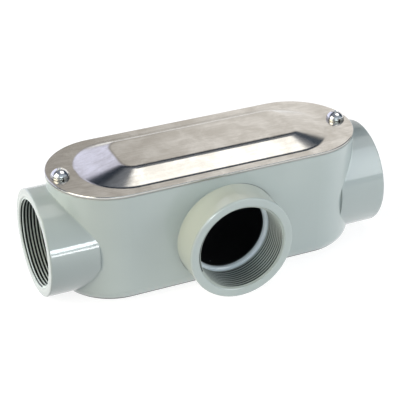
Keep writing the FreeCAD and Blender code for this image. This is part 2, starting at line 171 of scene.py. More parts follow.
class ThreadSizes(PropertyGroup):
    """Sizes of the cut threads."""

    pitch: FloatProperty(
        name="Pitch", description="Distance between neighbouring turns",
        default=0.002209, unit="LENGTH", precision=5,
    )
    depth: FloatProperty(
        name="Depth", description="How far a crest stands in from the bore wall",
        default=0.0014, unit="LENGTH", precision=5,
    )
    root_gap: FloatProperty(
        name="Root gap", description="Clearance between a root and the bore wall",
        default=0.00006, unit="LENGTH", precision=5,
    )
    run_in: FloatProperty(
        name="Run in", description="Length of plain wall between the mouth's bevel and the first turn",
        default=0.0001, unit="LENGTH", precision=5,
    )
    steps: IntProperty(
        name="Steps", description="Steps in one full turn", default=96, min=24,
    )


class ScrewSizes(PropertyGroup):
    """Sizes of the cover screws and their washers."""

    rim_height: FloatProperty(
        name="Rim height", description="Height of the straight rim under the round head",
        default=0.0007, unit="LENGTH", precision=5,
    )
    recess_span: FloatProperty(
        name="Recess span", description="Tip to tip width of the cross recess",
        default=0.0060, unit="LENGTH", precision=5,
    )
    recess_blade: FloatProperty(
        name="Recess blade", description="Width of one arm of the cross recess",
        default=0.0013, unit="LENGTH", precision=5,
    )
    recess_depth: FloatProperty(
        name="Recess depth", description="Depth of the cross recess below the crown",
        default=0.0026, unit="LENGTH", precision=5,
    )
    edge_round: FloatProperty(
        name="Edge round", description="Rounding of the head's and washer's edges",
        default=0.00018, unit="LENGTH", precision=5,
    )
    washer_gap: FloatProperty(
        name="Washer gap", description="Width of the split in each washer",
        default=0.0011, unit="LENGTH", precision=5,
    )
    washer_spring: FloatProperty(
        name="Washer spring", description="How far one end of the washer stays up",
        default=0.00010, unit="LENGTH", precision=5,
    )


class Finishes(PropertyGroup):
    """Colours and gloss of every surface."""

    enamel_colour: FloatVectorProperty(
        name="Enamel", description="Colour of the enamel on the casting",
        default=(0.396, 0.441, 0.424), subtype="COLOR", size=3,
    )
    enamel_shade: FloatVectorProperty(
        name="Enamel shade", description="Slightly deeper tone that drifts through the enamel",
        default=(0.370, 0.415, 0.400), subtype="COLOR", size=3,
    )
    # Painted shade: a deeper tone darkens the two end hubs as if they were less lit
    run_hub_painted_shade: FloatVectorProperty(
        name="Run hub enamel", description="Thinner, deeper coat on the two end hubs",
        default=(0.345, 0.386, 0.376), subtype="COLOR", size=3,
    )
    # Painted light: a paler, warmer tone stands in for warm light from the left on the side hub
    side_hub_painted_light: FloatVectorProperty(
        name="Side hub enamel", description="Thicker, paler coat on the outside of the side hub",
        default=(0.470, 0.500, 0.440), subtype="COLOR", size=3,
    )
    enamel_roughness: FloatProperty(
        name="Enamel roughness", description="Roughness under the enamel's gloss",
        default=0.42, min=0.0, max=1.0, subtype="FACTOR",
    )
    enamel_gloss: FloatProperty(
        name="Enamel gloss", description="Weight of the clear gloss on the enamel",
        default=1.0, min=0.0, max=1.0, subtype="FACTOR",
    )
    # Painted light: near white stands in for light that barely reaches the lips inside the bores
    lip_painted_light: FloatVectorProperty(
        name="Lip", description="Brighter skin of the smooth lips inside the hubs",
        default=(0.90, 0.97, 0.98), subtype="COLOR", size=3,
    )
    # Painted shade: near black stands in for the deep shade inside the box
    chamber_painted_shade: FloatVectorProperty(
        name="Chamber", description="Dark rough skin inside the casting",
        default=(0.006, 0.007, 0.009), subtype="COLOR", size=3,
    )
    cover_colour: FloatVectorProperty(
        name="Cover", description="Colour of the bare stamped sheet",
        default=(0.78, 0.755, 0.71), subtype="COLOR", size=3,
    )
    cover_stain: FloatVectorProperty(
        name="Cover stain", description="Duller tone of the sheet's mottling",
        default=(0.60, 0.57, 0.52), subtype="COLOR", size=3,
    )
    cover_roughness: FloatProperty(
        name="Cover roughness", description="Mean roughness of the sheet",
        default=0.17, min=0.0, max=1.0, subtype="FACTOR",
    )
    thread_colour: FloatVectorProperty(
        name="Thread", description="Colour of the cut threads",
        default=(0.36, 0.395, 0.36), subtype="COLOR", size=3,
    )
    # Painted light: a brighter copy of the thread colour for the two end hubs
    run_thread_painted_light: FloatVectorProperty(
        name="Run thread", description="Brighter cut of the threads in the two end hubs",
        default=(0.56, 0.62, 0.60), subtype="COLOR", size=3,
    )
    # Painted shade: near black in the threads' roots and in the side hub's crease
    groove_painted_shade: FloatVectorProperty(
        name="Groove", description="Colour of the oily residue at the threads' roots",
        default=(0.010, 0.014, 0.014), subtype="COLOR", size=3,
    )
    plating_colour: FloatVectorProperty(
        name="Plating", description="Colour of the screws' bright plating",
        default=(0.90, 0.90, 0.89), subtype="COLOR", size=3,
    )
    washer_colour: FloatVectorProperty(
        name="Washer", description="Colour of the washers' plating",
        default=(0.62, 0.61, 0.58), subtype="COLOR", size=3,
    )
    gasket_colour: FloatVectorProperty(
        name="Gasket", description="Colour of the gasket sheet",
        default=(0.42, 0.42, 0.40), subtype="COLOR", size=3,
    )


class Studio(PropertyGroup):
    """Camera, lamps and surroundings."""

    azimuth: FloatProperty(
        name="Azimuth", description="Direction of the camera about the vertical",
        default=math.radians(-23.617), subtype="ANGLE",
    )
    elevation: FloatProperty(
        name="Elevation", description="Height angle of the camera",
        default=math.radians(29.883), subtype="ANGLE",
    )
    roll: FloatProperty(
        name="Roll", description="Roll of the camera", default=math.radians(-0.4475), subtype="ANGLE",
    )
    distance: FloatProperty(
        name="Distance", description="Distance from the cover's middle to the camera",
        default=0.93699, unit="LENGTH", precision=5,
    )
    slide_right: FloatProperty(
        name="Slide right", description="Sideways place of the camera",
        default=-0.00251, unit="LENGTH", precision=5,
    )
    slide_up: FloatProperty(
        name="Slide up", description="Upwards place of the camera",
        default=0.04259, unit="LENGTH", precision=5,
    )
    aim_below_cover: FloatProperty(
        name="Aim below cover",
        description="How far under the cover's margin the camera's reference point lies",
        default=0.0903, unit="LENGTH", precision=5,
    )
    lens: FloatProperty(
        name="Lens", description="Focal length of the camera in millimetres", default=121.05, min=20.0,
    )
    floor_size: FloatProperty(
        name="Floor size", description="Side of the white floor", default=6.0, unit="LENGTH",
    )
    floor_lift: FloatProperty(
        name="Floor whiteness", description="Share of plain white that the camera sees on the floor",
        default=0.72, min=0.0, max=1.0, subtype="FACTOR",
    )
    floor_glow: FloatProperty(
        name="Floor glow", description="Share of plain white light that the floor sends to the object",
        default=0.24, min=0.0, max=1.0, subtype="FACTOR",
    )
    front_light: FloatProperty(
        name="Front light", description="Brightness of the tent behind the camera", default=0.44, min=0.0,
    )
    key_light: FloatProperty(
        name="Key light", description="Brightness of the lamp at the left front", default=0.6, min=0.0,
    )
    back_light: FloatProperty(
        name="Back light", description="Brightness of the lamp behind on the left", default=8.2, min=0.0,
    )
    fill_light: FloatProperty(
        name="Fill light", description="Brightness of the low lamp in front", default=4.2, min=0.0,
    )
    top_light: FloatProperty(
        name="Top light", description="Brightness of the lamp high on the left", default=4.2, min=0.0,
    )
    right_light: FloatProperty(
        name="Right light", description="Brightness of the low lamp on the right", default=4.0, min=0.0,
    )
    side_light: FloatProperty(
        name="Side light", description="Brightness of the warm lamp on the left",
        default=7.0, min=0.0,
    )
    strip_light: FloatProperty(
        name="Strip light", description="Brightness of the two strips that the left hub mirrors",
        default=14.0, min=0.0,
    )
    panel_light: FloatProperty(
        name="Panel light", description="Brightness of the panel that the right hub mirrors",
        default=3.4, min=0.0,
    )


class ConduitBodySettings(PropertyGroup):
    """All settings of the conduit body."""

    threads: PointerProperty(type=ThreadSizes)
    screws: PointerProperty(type=ScrewSizes)
    finishes: PointerProperty(type=Finishes)
    studio: PointerProperty(type=Studio)


def settings():
    """Return the scene's settings of the conduit body."""
    return bpy.context.scene.conduit_body


# Mesh helpers

def finish_piece(name, mesh_data, material):
    """Link a finished bmesh or mesh as a piece that rides on the body."""
    if isinstance(mesh_data, bmesh.types.BMesh):
        mesh = bpy.data.meshes.new(name)
        mesh_data.to_mesh(mesh)
        mesh_data.free()
    else:
        mesh = mesh_data
        mesh.name = name
    mesh.polygons.foreach_set("use_smooth", [True] * len(mesh.polygons))
    mesh.set_sharp_from_angle(angle=SMOOTH_ANGLE)
    mesh.materials.clear()
    mesh.materials.append(material)
    piece = bpy.data.objects.new(name, mesh)
    bpy.context.scene.collection.objects.link(piece)
    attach(piece, BODY)
    return piece


def profile_edges(bm, points, closed=False):
    """Add a chain of vertices in the XZ plane and join them with edges."""
    verts = [bm.verts.new((r, 0.0, z)) for r, z in points]
    pairs = list(zip(verts, verts[1:]))
    if closed:
        pairs.append((verts[-1], verts[0]))
    edges = [bm.edges.new(pair) for pair in pairs]
    return verts, edges


def spin_full(bm, geometry, steps):
    """Turn a profile once about the Z axis and close it."""
    bmesh.ops.spin(
        bm, geom=geometry, cent=(0, 0, 0), axis=(0, 0, 1), dvec=(0, 0, 0),
        angle=math.tau, steps=steps, use_merge=True, use_duplicate=False,
    )
    bmesh.ops.remove_doubles(bm, verts=bm.verts, dist=1e-6)
    bmesh.ops.recalc_face_normals(bm, faces=bm.faces)


def turn_to(axis):
    """Return the rotation that takes +Z to an axis."""
    return Vector((0, 0, 1)).rotation_difference(Vector(axis)).to_matrix().to_4x4()


def loop_near(bm, level):
    """Return the open edges that lie at one height."""
    return [e for e in bm.edges if e.is_boundary and all(abs(v.co.z - level) < 1e-6 for v in e.verts)]


def thread_mesh(bore_radius, length):
    """Cut a helical thread between two planes and back it with a plain tube."""
    sizes = settings().threads
    root = bore_radius - sizes.root_gap
    crest = bore_radius - sizes.depth
    pitch = sizes.pitch
    flat = THREAD_FLAT_SHARE * pitch
    bm = bmesh.new()
    verts, edges = profile_edges(bm, [
        (root, -pitch),
        (root, -pitch + flat),
        (crest, -0.5 * pitch - flat / 2),
        (crest, -0.5 * pitch + flat / 2),
        (root, -flat),
        (root, 0.0),
    ])
    turns = math.ceil(length / pitch) + 2
    bmesh.ops.spin(
        bm, geom=verts + edges, cent=(0, 0, 0), axis=(0, 0, 1), dvec=(0, 0, pitch / sizes.steps),
        angle=math.tau * turns, steps=sizes.steps * turns, use_merge=False, use_duplicate=False,
    )
    bmesh.ops.remove_doubles(bm, verts=bm.verts, dist=2e-7)
    for level, normal in ((0.0, (0, 0, -1)), (length, (0, 0, 1))):
        bmesh.ops.bisect_plane(
            bm, geom=bm.verts[:] + bm.edges[:] + bm.faces[:], dist=1e-7,
            plane_co=(0, 0, level), plane_no=normal, clear_outer=True,
        )
    bmesh.ops.create_cone(
        bm, segments=sizes.steps, radius1=bore_radius - TUBE_GAP, radius2=bore_radius - TUBE_GAP,
        depth=length, cap_ends=False, matrix=Matrix.Translation((0, 0, length / 2)),
    )
    for level in (0.0, length):
        bmesh.ops.bridge_loops(bm, edges=loop_near(bm, level))
    bmesh.ops.recalc_face_normals(bm, faces=bm.faces)
    return bm


def mark_depth(bm, bore_radius, length):
    """Store how deep every vertex lies in the groove: 0 on a crest or at the mouth, 1 on a root."""
    layer = bm.verts.layers.float.new("groove_depth")
    crest = bore_radius - settings().threads.depth
    for vert in bm.verts:
        reach = math.hypot(vert.co.x, vert.co.y)
        at_mouth = vert.co.z > length - MOUTH_EDGE
        vert[layer] = 0.0 if at_mouth else min(1.0, max(0.0, (reach - crest) / (bore_radius - crest)))


def cut_with(piece, cutters):
    """Subtract some meshes from a piece and return the result as a new mesh."""
    helpers = []
    for number, cutter in enumerate(cutters):
        mesh = bpy.data.meshes.new("cutter")
        cutter.to_mesh(mesh)
        cutter.free()
        helper = bpy.data.objects.new(f"cutter_{number}", mesh)
        bpy.context.scene.collection.objects.link(helper)
        modifier = piece.modifiers.new("cut", "BOOLEAN")
        modifier.operation = "DIFFERENCE"
        modifier.solver = "EXACT"
        modifier.object = helper
        helpers.append(helper)
    soften = piece.modifiers.new("soften", "BEVEL")
    soften.width = settings().screws.edge_round
    soften.segments = EDGE_SEGMENTS
    soften.limit_method = "ANGLE"
    soften.angle_limit = SOFTEN_ANGLE
    graph = bpy.context.evaluated_depsgraph_get()
    result = bpy.data.meshes.new_from_object(piece.evaluated_get(graph))
    for helper in helpers:
        bpy.data.objects.remove(helper)
    return result


def recess_arm(length, width, top, depth):
    """Return one tapered arm of the cross recess, from above the crown downwards."""
    bm = bmesh.new()
    height = depth + RECESS_ABOVE_CROWN
    bmesh.ops.create_cube(bm, size=1.0)
    bmesh.ops.scale(bm, verts=bm.verts, vec=(length, width, height))
    bmesh.ops.translate(bm, verts=bm.verts, vec=(0, 0, top - depth + height / 2))
    low = [v for v in bm.verts if v.co.z < top - depth / 2]
    taper = (RECESS_END_TAPER, RECESS_SIDE_TAPER)
    if length < width:
        taper = (RECESS_SIDE_TAPER, RECESS_END_TAPER)
    bmesh.ops.scale(bm, verts=low, vec=(*taper, 1))
    return bm


def screw_mesh(head_radius, head_height, shank_radius, shank_length):
    """Turn a round-head screw and cut its cross recess."""
    sizes = settings().screws
    rim = sizes.rim_height
    rise = head_height - rim
    crown = (head_radius ** 2 + rise ** 2) / (2 * rise)
    start = math.asin((crown - rise) / crown)
    bm = bmesh.new()
    points = [(0.0, -shank_length), (shank_radius, -shank_length), (shank_radius, 0.0), (head_radius, 0.0)]
    for row in range(HEAD_ROWS + 1):
        angle = start + (math.pi / 2 - start) * row / HEAD_ROWS
        points.append((crown * math.cos(angle), head_height - crown + crown * math.sin(angle)))
    verts, edges = profile_edges(bm, points)
    spin_full(bm, verts + edges, HEAD_STEPS)
    mesh = bpy.data.meshes.new("turned_screw")
    bm.to_mesh(mesh)
    bm.free()
    blank = bpy.data.objects.new("turned_screw", mesh)
    bpy.context.scene.collection.objects.link(blank)
    across = recess_arm(sizes.recess_span, sizes.recess_blade, head_height, sizes.recess_depth)
    along = recess_arm(sizes.recess_blade, sizes.recess_span, head_height, sizes.recess_depth)
    result = cut_with(blank, (across, along))
    bpy.data.objects.remove(blank)
    return result


def washer_mesh(outer, inner, thickness):
    """Sweep a rounded section most of the way round, rising a little like a spring."""
    sizes = settings().screws
    middle = (outer + inner) / 2
    gap = sizes.washer_gap / middle
    height = thickness - sizes.washer_spring
    bm = bmesh.new()
    bmesh.ops.create_grid(bm, x_segments=1, y_segments=1, size=0.5)
    bmesh.ops.scale(bm, verts=bm.verts, vec=(outer - inner, height, 1))
    bmesh.ops.bevel(
        bm, geom=bm.verts[:], offset=sizes.edge_round, segments=EDGE_SEGMENTS, profile=0.5,
        affect="VERTICES", material=-1,
    )
    upright = Matrix.Rotation(math.pi / 2, 3, "X")
    bmesh.ops.rotate(bm, verts=bm.verts, cent=(0, 0, 0), matrix=upright)
    bmesh.ops.translate(bm, verts=bm.verts, vec=(middle, 0, height / 2))
    to_gap = Matrix.Rotation(gap / 2 - math.pi / 2, 3, "Z")
    bmesh.ops.rotate(bm, verts=bm.verts, cent=(0, 0, 0), matrix=to_gap)
    bmesh.ops.spin(
        bm, geom=bm.verts[:] + bm.edges[:] + bm.faces[:], cent=(0, 0, 0), axis=(0, 0, 1),
        dvec=(0, 0, sizes.washer_spring / WASHER_STEPS), angle=math.tau - gap, steps=WASHER_STEPS,
        use_merge=False, use_duplicate=False,
    )
    bmesh.ops.recalc_face_normals(bm, faces=bm.faces)
    return bm


# Material helpers

def new_material(name):
    """Start a material and return it with its node tree and shader."""
    material = bpy.data.materials.new(name)
    material.use_nodes = True
    tree = material.node_tree
    shader = next(node for node in tree.nodes if node.type == "BSDF_PRINCIPLED")
    return material, tree, shader


def add_node(tree, kind, inputs=None, **values):
    """Add a node, set its properties and give its inputs numbers or links."""
    node = tree.nodes.new(f"ShaderNode{kind}")
    for key, value in values.items():
        setattr(node, key, value)
    for key, value in (inputs or {}).items():
        if isinstance(value, bpy.types.NodeSocket):
            tree.links.new(value, node.inputs[key])
        else:
            node.inputs[key].default_value = value
    return node


def calculate(tree, operation, *terms, clamp=False):
    """Return the result of one math step on numbers or sockets."""
    node = add_node(tree, "Math", dict(enumerate(terms)), operation=operation, use_clamp=clamp)
    return node.outputs[0]


def smooth_step(tree, value, low, high):
    """Return 0 below low, 1 above high and a smooth rise between."""
    limits = {"Value": value, "From Min": low, "From Max": high}
    return add_node(tree, "MapRange", limits, interpolation_type="SMOOTHSTEP").outputs[0]


def band(tree, value, low, high, soft):
    """Return 1 between two limits, falling off smoothly outside them."""
    rise = smooth_step(tree, value, low - soft, low + soft)
    fall = reversed_share(tree, smooth_step(tree, value, high - soft, high + soft))
    return calculate(tree, "MULTIPLY", rise, fall)


def noise(tree, coordinates, scale, detail=2.0, roughness=0.5, distortion=0.0):
    """Return the value of a noise at a scale given in turns for each metre."""
    node = add_node(tree, "TexNoise", {
        "Vector": coordinates, "Scale": scale, "Detail": detail,
        "Roughness": roughness, "Distortion": distortion,
    })
    return node.outputs["Fac"]


def blend_colours(tree, factor, first, second):
    """Mix two colours or sockets by a factor."""
    node = add_node(tree, "Mix", {"Factor": factor}, data_type="RGBA")
    for index, value in zip(COLOUR_INPUTS, (first, second)):
        if isinstance(value, bpy.types.NodeSocket):
            tree.links.new(value, node.inputs[index])
        else:
            node.inputs[index].default_value = (*value, 1.0)
    return node.outputs[COLOUR_OUTPUT]


def object_coordinates(tree):
    """Return the piece's own coordinates, in metres."""
    return add_node(tree, "TexCoord").outputs["Object"]


def split(tree, vector):
    """Return the three parts of a vector."""
    return add_node(tree, "SeparateXYZ", {"Vector": vector}).outputs[:3]


def reversed_share(tree, value):
    """Return one minus a value."""
    return calculate(tree, "SUBTRACT", 1.0, value)


def negative(tree, value):
    """Return a value with its sign turned."""
    return calculate(tree, "MULTIPLY", value, -1.0)


def product(tree, *factors):
    """Return the product of some values."""
    result = factors[0]
    for factor in factors[1:]:
        result = calculate(tree, "MULTIPLY", result, factor)
    return result


def distance(tree, first, second):
    """Return the hypotenuse over two values."""
    first_square = calculate(tree, "POWER", first, 2.0)
    second_square = calculate(tree, "POWER", second, 2.0)
    return calculate(tree, "SQRT", calculate(tree, "ADD", first_square, second_square))


def about_axis(tree, coordinates):
    """Return a place's x, its y and its height above the outlets' axes."""
    x, y, z = split(tree, coordinates)
    return x, y, calculate(tree, "SUBTRACT", z, AXIS_HEIGHT)


def wall_reach(tree, coordinates):
    """Return the distance of a place from the obround's middle line."""
    x, y = split(tree, coordinates)[:2]
    past_end = calculate(tree, "SUBTRACT", calculate(tree, "ABSOLUTE", x), END_CENTRE)
    return distance(tree, calculate(tree, "MAXIMUM", past_end, 0.0), y)


def past_wall(tree, coordinates):
    """Return how far a place stands outside the drafted wall of the box."""
    height = split(tree, coordinates)[2]
    inset = calculate(tree, "MULTIPLY", calculate(tree, "SUBTRACT", CASTING_TOP, height), WALL_DRAFT)
    wall = calculate(tree, "SUBTRACT", HALF_WIDTH, inset)
    return calculate(tree, "SUBTRACT", wall_reach(tree, coordinates), wall)


def lip_mask(tree, coordinates):
    """Return 1 on the smooth bushing lips at the inner ends of the bores."""
    x, y, rise = about_axis(tree, coordinates)
    outlets = (
        (calculate(tree, "ABSOLUTE", x), y, RUN_FACE),
        (negative(tree, y), x, BRANCH_FACE),
    )
    masks = []
    for along, across, face in outlets:
        lip = face - LIP_DEPTH
        at_depth = band(tree, along, lip - LIP_BEHIND, lip + LIP_AHEAD, LIP_SOFT)
        outside = smooth_step(tree, distance(tree, across, rise), *LIP_RADII)
        masks.append(product(tree, at_depth, reversed_share(tree, outside)))
    return calculate(tree, "MAXIMUM", *masks)


def chamber_shade_mask(tree, coordinates):
    """Return 1 on the inside walls of the box, where shade is painted, and 0 on its hubs and lips."""
    z = split(tree, coordinates)[2]
    reach = wall_reach(tree, coordinates)
    outside = smooth_step(tree, reach, CHAMBER_WALL - CHAMBER_SOFT, CHAMBER_WALL)
    above_back = smooth_step(tree, z, *BACK_SHEET)
    off_lips = reversed_share(tree, lip_mask(tree, coordinates))
    return product(tree, reversed_share(tree, outside), above_back, off_lips)


def crease_shade_mask(tree, coordinates):
    """Return 1 in the narrow crease where the side hub leaves the wall, low down and to the right, where
    shade is painted.
    """
    x, y, rise = about_axis(tree, coordinates)
    off_barrel = calculate(tree, "SUBTRACT", distance(tree, x, rise), HUB_RADIUS)
    off_crease = distance(tree, off_barrel, past_wall(tree, coordinates))
    front = smooth_step(tree, negative(tree, y), *SIDE_HUB_FRONT)
    lower = smooth_step(tree, negative(tree, rise), *CREASE_BELOW_AXIS)
    rightward = smooth_step(tree, x, *CREASE_RIGHT)
    filled = reversed_share(tree, smooth_step(tree, off_crease, *CREASE_WIDTH))
    return product(tree, filled, front, calculate(tree, "MAXIMUM", lower, rightward))


def run_root_mask(tree, coordinates):
    """Return 1 at the root of the left hub, below its axis, where it is shaded as a fine round."""
    x, y, rise = about_axis(tree, coordinates)
    past = past_wall(tree, coordinates)
    begun = smooth_step(tree, past, *ROOT_START)
    unfinished = reversed_share(tree, smooth_step(tree, past, *ROOT_END))
    on_hub = smooth_step(tree, distance(tree, y, rise), *RUN_HUB_SKIN)
    at_left = smooth_step(tree, negative(tree, x), *RUN_HUB_SIDES)
    lower = reversed_share(tree, smooth_step(tree, rise, *ROOT_ABOVE_AXIS))
    return product(tree, begun, unfinished, on_hub, at_left, lower)


def run_hub_shade_mask(tree, coordinates):
    """Return 1 on the outside of the two run hubs, where shade is painted."""
    x, y, rise = about_axis(tree, coordinates)
    past = smooth_step(tree, past_wall(tree, coordinates), *RUN_COAT_START)
    on_hub = smooth_step(tree, distance(tree, y, rise), *RUN_HUB_SKIN)
    near_end = smooth_step(tree, calculate(tree, "ABSOLUTE", x), *RUN_HUB_SIDES)
    return product(tree, past, on_hub, near_end)


def side_hub_light_mask(tree, coordinates):
    """Return 1 on the outside of the side hub, short of its rim, where light is painted."""
    x, y, rise = about_axis(tree, coordinates)
    past = smooth_step(tree, past_wall(tree, coordinates), *SIDE_COAT_START)
    on_barrel = smooth_step(tree, distance(tree, x, rise), *SIDE_HUB_SKIN)
    behind_rim = smooth_step(tree, y, *SIDE_HUB_RIM)
    in_front = smooth_step(tree, negative(tree, y), *SIDE_HUB_FRONT)
    off_middle = smooth_step(tree, calculate(tree, "ABSOLUTE", x), *SIDE_HUB_SIDES)
    return product(tree, past, on_barrel, behind_rim, in_front, reversed_share(tree, off_middle))


def wall_normal(tree, coordinates):
    """Return the outward direction of the box's wall at a place."""
    x, y = split(tree, coordinates)[:2]
    inner = calculate(tree, "MAXIMUM", calculate(tree, "MINIMUM", x, END_CENTRE), -END_CENTRE)
    sideways = calculate(tree, "SUBTRACT", x, inner)
    outward = add_node(tree, "CombineXYZ", {"X": sideways, "Y": y}).outputs[0]
    turned = add_node(
        tree, "VectorTransform", {"Vector": outward},
        vector_type="NORMAL", convert_from="OBJECT", convert_to="WORLD",
    ).outputs[0]
    return add_node(tree, "VectorMath", {0: turned}, operation="NORMALIZE").outputs[0]


def blend_normals(tree, factor, first, second):
    """Mix two directions by a factor."""
    inputs = {"Factor": factor, **dict(zip(VECTOR_INPUTS, (first, second)))}
    mixed = add_node(tree, "Mix", inputs, data_type="VECTOR").outputs[VECTOR_OUTPUT]
    return add_node(tree, "VectorMath", {0: mixed}, operation="NORMALIZE").outputs[0]


def enamel_material():
    """Pale grey enamel with a soft orange peel; painted shade inside the box, on the end hubs and in the
    side hub's crease, painted glints inside, and painted light on the side hub and the lips.
    """
    look = settings().finishes
    material, tree, shader = new_material("grey_enamel")
    place = object_coordinates(tree)
    drift = smooth_step(tree, noise(tree, place, 14.0, 2.0), 0.38, 0.62)
    outside = blend_colours(tree, drift, look.enamel_colour, look.enamel_shade)
    grain = noise(tree, place, 900.0, 3.0, 0.6)
    # Painted glints: scattered light specks in the dark inside
    painted_glints = smooth_step(tree, noise(tree, place, 420.0, 4.0, 0.7), 0.66, 0.74)
    inside = blend_colours(tree, painted_glints, look.chamber_painted_shade, PAINTED_GLINT_COLOUR)
    # Painted shade: the inside walls are darkened to near black, with painted glints
    mask = chamber_shade_mask(tree, place)
    # Painted shade on the end hubs
    outside = blend_colours(tree, run_hub_shade_mask(tree, place), outside, look.run_hub_painted_shade)
    # Painted light on the side hub's barrel
    outside = blend_colours(tree, side_hub_light_mask(tree, place), outside, look.side_hub_painted_light)
    # Painted shade: a dark line in the crease at the side hub's root
    crease_darkening = calculate(tree, "MULTIPLY", crease_shade_mask(tree, place), 0.55)
    outside = blend_colours(tree, crease_darkening, outside, look.groove_painted_shade)
    # Painted light on the lips
    outside = blend_colours(tree, lip_mask(tree, place), outside, look.lip_painted_light)
    colour = blend_colours(tree, mask, outside, inside)
    tree.links.new(colour, shader.inputs["Base Color"])
    rough = calculate(tree, "ADD", look.enamel_roughness, calculate(tree, "MULTIPLY", mask, 0.3))
    tree.links.new(rough, shader.inputs["Roughness"])
    gloss = calculate(tree, "MULTIPLY", reversed_share(tree, mask), look.enamel_gloss)
    tree.links.new(gloss, shader.inputs["Coat Weight"])
    shader.inputs["Coat Roughness"].default_value = 0.045
    shader.inputs["Coat IOR"].default_value = 1.5
    soft_edges = add_node(tree, "Bevel", {"Radius": 0.0005}, samples=6)
    at_root = run_root_mask(tree, place)
    soft_edges = blend_normals(tree, at_root, soft_edges.outputs[0], wall_normal(tree, place))
    peel = calculate(tree, "ADD", noise(tree, place, 330.0, 2.0), calculate(tree, "MULTIPLY", grain, 0.25))
    peel_depth = calculate(tree, "ADD", 0.10, calculate(tree, "MULTIPLY", mask, 0.9))
    bump = add_node(tree, "Bump", {
        "Strength": peel_depth, "Distance": 0.00012, "Height": peel, "Normal": soft_edges,
    })
    tree.links.new(bump.outputs[0], shader.inputs["Normal"])
    coat_bump = add_node(tree, "Bump", {
        "Strength": 0.05, "Distance": 0.00012, "Height": peel, "Normal": soft_edges,
    })
    tree.links.new(coat_bump.outputs[0], shader.inputs["Coat Normal"])
    return material


def thread_material():
    """Freshly cut thread: fine turning marks on greyish metal, painted shade in the roots and painted light
    on the end hubs' threads.
    """
    look = settings().finishes
    material, tree, shader = new_material("cut_thread")
    place = object_coordinates(tree)
    tone = smooth_step(tree, noise(tree, place, 60.0, 3.0), 0.35, 0.65)
    crest = blend_colours(tree, tone, look.thread_colour, tuple(0.85 * part for part in look.thread_colour))
    # Painted light on the threads in the end hubs
    in_run = smooth_step(tree, calculate(tree, "ABSOLUTE", split(tree, place)[0]), *RUN_THREADS)
    crest = blend_colours(tree, in_run, crest, look.run_thread_painted_light)
    depth = add_node(tree, "Attribute", attribute_name="groove_depth").outputs["Fac"]
    # Painted shade: the roots darken with their groove depth
    dark = smooth_step(tree, depth, 0.15, 0.65)
    colour = blend_colours(tree, dark, crest, look.groove_painted_shade)
    tree.links.new(colour, shader.inputs["Base Color"])
    shader.inputs["Metallic"].default_value = 0.35
    rough = calculate(tree, "ADD", 0.3, calculate(tree, "MULTIPLY", noise(tree, place, 700.0), 0.2))
    tree.links.new(rough, shader.inputs["Roughness"])
    bump = add_node(tree, "Bump", {
        "Strength": 0.15, "Distance": 0.00006, "Height": noise(tree, place, 1800.0, 2.0),
    })
    tree.links.new(bump.outputs[0], shader.inputs["Normal"])
    return material


def cover_material():
    """Bare stamped sheet: mottled tone, faint rolling lines, fine grain and a painted shadow low on the cut
    edge.
    """
    look = settings().finishes
    material, tree, shader = new_material("stamped_sheet")
    place = object_coordinates(tree)
    along = add_node(tree, "Mapping", {"Vector": place, "Scale": (0.12, 1.0, 1.0)}).outputs[0]
    blotches = noise(tree, place, 55.0, 5.0, 0.62, 0.4)
    streaks = noise(tree, along, 520.0, 4.0, 0.6)
    grain = noise(tree, place, 1500.0, 3.0, 0.65)
    broad = calculate(tree, "MULTIPLY", blotches, 0.7)
    mottle = calculate(tree, "ADD", broad, calculate(tree, "MULTIPLY", streaks, 0.3))
    tone = smooth_step(tree, mottle, 0.36, 0.66)
    colour = blend_colours(tree, tone, look.cover_stain, look.cover_colour)
    sheared = smooth_step(tree, wall_reach(tree, place), *SHEARED_EDGE)
    colour = blend_colours(tree, sheared, colour, SHEARED_COLOUR)
    height = split(tree, place)[2]
    # Painted shadow: the lower half of the cut edge is darkened
    under = reversed_share(tree, smooth_step(tree, height, *SHEARED_RISE))
    colour = blend_colours(tree, product(tree, sheared, under), colour, SHEARED_EDGE_PAINTED_SHADOW)
    tree.links.new(colour, shader.inputs["Base Color"])
    shader.inputs["Metallic"].default_value = 1.0
    polish = calculate(tree, "MULTIPLY", blotches, -0.10)
    spread = calculate(tree, "ADD", polish, calculate(tree, "MULTIPLY", grain, 0.10))
    rough = calculate(tree, "ADD", look.cover_roughness, spread)
    tree.links.new(rough, shader.inputs["Roughness"])
    past_middle = calculate(tree, "ABSOLUTE", split(tree, place)[0])
    at_end = smooth_step(tree, past_middle, *DOME_END)
    on_end = product(tree, at_end, smooth_step(tree, height, *DOME_RISE))
    radius = calculate(tree, "ADD", 0.0003, calculate(tree, "MULTIPLY", on_end, 0.0035))
    soft_edges = add_node(tree, "Bevel", {"Radius": radius}, samples=8)
    relief = calculate(tree, "ADD", calculate(tree, "MULTIPLY", streaks, 0.5), grain)
    bump = add_node(tree, "Bump", {
        "Strength": 0.10, "Distance": 0.00003, "Height": relief, "Normal": soft_edges.outputs[0],
    })
    tree.links.new(bump.outputs[0], shader.inputs["Normal"])
    return material


def plated_material(name, colour, roughness, mark_strength):
    """Bright plating with faint handling marks."""
    material, tree, shader = new_material(name)
    place = object_coordinates(tree)
    marks = noise(tree, place, 900.0, 3.0, 0.6)
    worn = tuple(0.86 * part for part in colour)
    tint = blend_colours(tree, smooth_step(tree, marks, 0.4, 0.7), colour, worn)
    tree.links.new(tint, shader.inputs["Base Color"])
    shader.inputs["Metallic"].default_value = 1.0
    rough = calculate(tree, "ADD", roughness, calculate(tree, "MULTIPLY", marks, 0.08))
    tree.links.new(rough, shader.inputs["Roughness"])
    bump = add_node(tree, "Bump", {"Strength": mark_strength, "Distance": 0.00004, "Height": marks})
    tree.links.new(bump.outputs[0], shader.inputs["Normal"])
    return material


